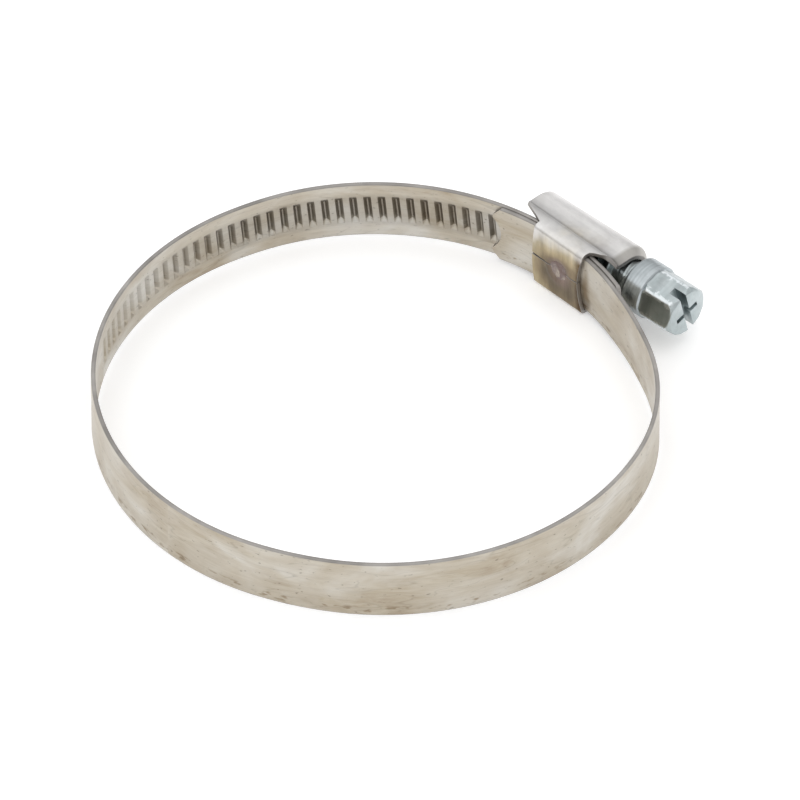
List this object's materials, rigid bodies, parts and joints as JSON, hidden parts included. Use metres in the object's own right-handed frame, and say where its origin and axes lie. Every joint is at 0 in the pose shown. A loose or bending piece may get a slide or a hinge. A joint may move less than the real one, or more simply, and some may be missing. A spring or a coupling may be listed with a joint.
{
  "type": "worm-drive hose clamp",
  "caption": "Round band clamp: slotted hex screw in a wrapped housing drives the pressed thread of a flat steel band.",
  "frame": {"origin": "axis of the hose seat, half-way up the band", "axes": "+Z along the ring axis; +X outward through the housing; screw head towards -Y, its axis leaning 2.7 degrees outward at the head"},
  "size_m": [0.0808, 0.0744, 0.0104],
  "materials": {
    "band_steel": "rolled stainless strip, warm grey, satin with faint lengthwise grain and smudges",
    "housing_steel": "pressed stainless sheet, satin",
    "heat_tinted_steel": "stainless tinted straw, brown and violet by the weld",
    "zinc_plate": "bright zinc plate, bluish, with fine turning lines"
  },
  "bodies": {
    "housing": {"housing": "housing_steel", "band_fixed_end": "band_steel", "spot_weld": "heat_tinted_steel"},
    "screw": {"screw": "zinc_plate"},
    "threaded_end": {"band_threaded_end": "band_steel"},
    "head_side_1": {"band_head_side_1": "band_steel"},
    "head_side_2": {"band_head_side_2": "band_steel"},
    "head_side_3": {"band_head_side_3": "band_steel"},
    "head_side_4": {"band_head_side_4": "band_steel"},
    "head_side_5": {"band_head_side_5": "band_steel"},
    "head_side_6": {"band_head_side_6": "band_steel"},
    "head_side_7": {"band_head_side_7": "band_steel"},
    "tip_side_1": {"band_tip_side_1": "band_steel"},
    "tip_side_2": {"band_tip_side_2": "band_steel"},
    "tip_side_3": {"band_tip_side_3": "band_steel"},
    "tip_side_4": {"band_tip_side_4": "band_steel"},
    "tip_side_5": {"band_tip_side_5": "band_steel"},
    "tip_side_6": {"band_tip_side_6": "band_steel"}
  },
  "joints": [
    {"name": "screw_turn", "type": "hinge", "parent": "housing", "child": "screw", "pos_m": [0.04047, 0.00183, 0], "axis": [-0.0471, 0.9989, 0], "range_deg": [0, 7200]},
    {"name": "band_feed", "type": "hinge", "parent": "housing", "child": "threaded_end", "pos_m": [0.00156, 0, 0], "axis": [0, 0, 1], "range_deg": [-61.37, 0]},
    {"name": "head_side_flex_1", "type": "hinge", "parent": "housing", "child": "head_side_1", "pos_m": [0.0354, -0.00607, 0], "axis": [0, 0, 1], "range_deg": [-16.26, 0]},
    {"name": "head_side_flex_2", "type": "hinge", "parent": "head_side_1", "child": "head_side_2", "pos_m": [0.03026, -0.02066, 0], "axis": [0, 0, 1], "range_deg": [-1.33, 0]},
    {"name": "head_side_flex_3", "type": "hinge", "parent": "head_side_2", "child": "head_side_3", "pos_m": [0.02018, -0.03222, 0], "axis": [0, 0, 1], "range_deg": [-2.4, 0]},
    {"name": "head_side_flex_4", "type": "hinge", "parent": "head_side_3", "child": "head_side_4", "pos_m": [0.00564, -0.03722, 0], "axis": [0, 0, 1], "range_deg": [-3.87, 0]},
    {"name": "head_side_flex_5", "type": "hinge", "parent": "head_side_4", "child": "head_side_5", "pos_m": [-0.00967, -0.03556, 0], "axis": [0, 0, 1], "range_deg": [-5.32, 0]},
    {"name": "head_side_flex_6", "type": "hinge", "parent": "head_side_5", "child": "head_side_6", "pos_m": [-0.02289, -0.02766, 0], "axis": [0, 0, 1], "range_deg": [-6.36, 0]},
    {"name": "head_side_flex_7", "type": "hinge", "parent": "head_side_6", "child": "head_side_7", "pos_m": [-0.03173, -0.01503, 0], "axis": [0, 0, 1], "range_deg": [-6.71, 0]},
    {"name": "tip_side_flex_1", "type": "hinge", "parent": "threaded_end", "child": "tip_side_1", "pos_m": [0.01164, 0.03355, 0], "axis": [0, 0, 1], "range_deg": [0, 1.03]},
    {"name": "tip_side_flex_2", "type": "hinge", "parent": "tip_side_1", "child": "tip_side_2", "pos_m": [0.00056, 0.03538, 0], "axis": [0, 0, 1], "range_deg": [0, 1.64]},
    {"name": "tip_side_flex_3", "type": "hinge", "parent": "tip_side_2", "child": "tip_side_3", "pos_m": [-0.01052, 0.03368, 0], "axis": [0, 0, 1], "range_deg": [0, 2.53]},
    {"name": "tip_side_flex_4", "type": "hinge", "parent": "tip_side_3", "child": "tip_side_4", "pos_m": [-0.02051, 0.0286, 0], "axis": [0, 0, 1], "range_deg": [0, 3.59]},
    {"name": "tip_side_flex_5", "type": "hinge", "parent": "tip_side_4", "child": "tip_side_5", "pos_m": [-0.02842, 0.02065, 0], "axis": [0, 0, 1], "range_deg": [0, 4.68]},
    {"name": "tip_side_flex_6", "type": "hinge", "parent": "tip_side_5", "child": "tip_side_6", "pos_m": [-0.03344, 0.01063, 0], "axis": [0, 0, 1], "range_deg": [0, 5.64]}
  ],
  "couplings": [
    {"joint": "band_feed", "follows": "screw_turn", "ratio": -0.0085238},
    {"joint": "head_side_flex_1", "follows": "screw_turn", "ratio": -0.0022588},
    {"joint": "head_side_flex_2", "follows": "screw_turn", "ratio": -0.00018532},
    {"joint": "head_side_flex_3", "follows": "screw_turn", "ratio": -0.00033344},
    {"joint": "head_side_flex_4", "follows": "screw_turn", "ratio": -0.0005381},
    {"joint": "head_side_flex_5", "follows": "screw_turn", "ratio": -0.00073945},
    {"joint": "head_side_flex_6", "follows": "screw_turn", "ratio": -0.00088398},
    {"joint": "head_side_flex_7", "follows": "screw_turn", "ratio": -0.00093131},
    {"joint": "tip_side_flex_1", "follows": "screw_turn", "ratio": 0.00014264},
    {"joint": "tip_side_flex_2", "follows": "screw_turn", "ratio": 0.00022795},
    {"joint": "tip_side_flex_3", "follows": "screw_turn", "ratio": 0.00035093},
    {"joint": "tip_side_flex_4", "follows": "screw_turn", "ratio": 0.0004981},
    {"joint": "tip_side_flex_5", "follows": "screw_turn", "ratio": 0.00065007},
    {"joint": "tip_side_flex_6", "follows": "screw_turn", "ratio": 0.00078368}
  ]
}
